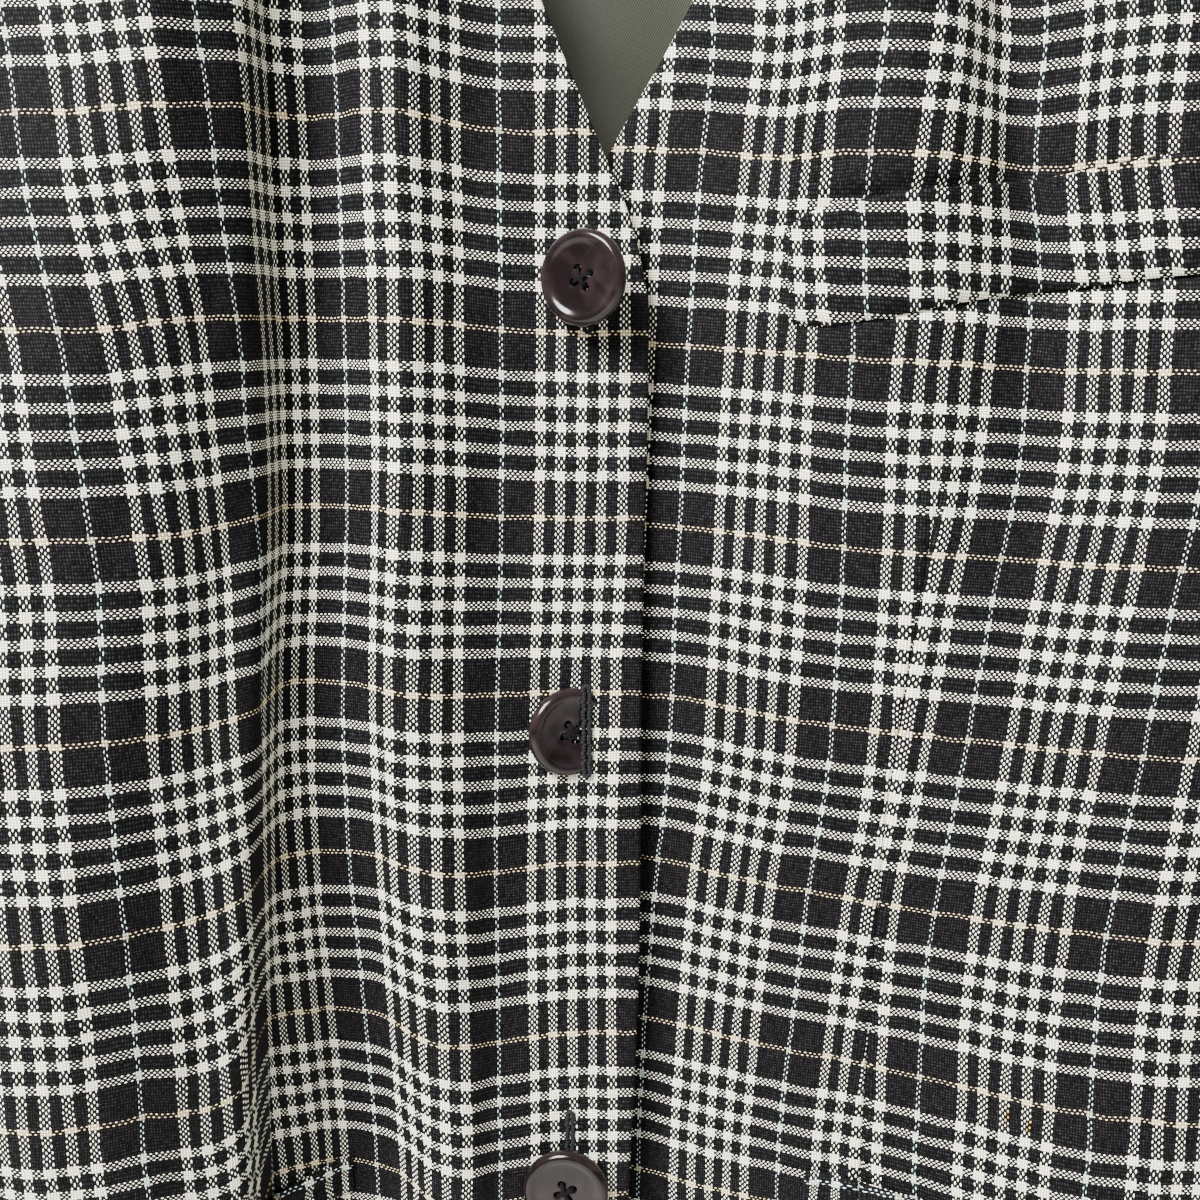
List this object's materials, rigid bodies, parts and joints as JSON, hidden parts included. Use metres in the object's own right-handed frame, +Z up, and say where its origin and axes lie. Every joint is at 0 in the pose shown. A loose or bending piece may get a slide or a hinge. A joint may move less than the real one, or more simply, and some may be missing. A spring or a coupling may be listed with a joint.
{
  "type": "blazer on hanger",
  "caption": "Collarless V-neck single-breasted checked blazer, buttoned and hanging hollow on a plain moulded hanger.",
  "frame": {"origin": "where a rail carries the hook, at the inside top of its bow", "axes": "+Z up, -Y out of the front of the blazer, +X towards the wearer's left"},
  "size_m": [0.601, 0.1461, 0.8117],
  "materials": {
    "check_cloth": "plain-weave check, matt",
    "lining_twill": "fine twill with a soft sheen",
    "button_resin": "polished, faintly marbled",
    "hanger_plastic": "satin moulding"
  },
  "bodies": {
    "root": {"front_right": "check_cloth", "front_left": "check_cloth", "back": "check_cloth", "sleeve_right": "check_cloth", "sleeve_left": "check_cloth", "back_lining": "lining_twill", "chest_welt": "check_cloth", "jet_upper_right": "check_cloth", "jet_lower_right": "check_cloth", "jet_upper_left": "check_cloth", "jet_lower_left": "check_cloth", "button_1": "button_resin", "button_2": "button_resin", "button_3": "button_resin", "hanger": "hanger_plastic"}
  },
  "joints": []
}
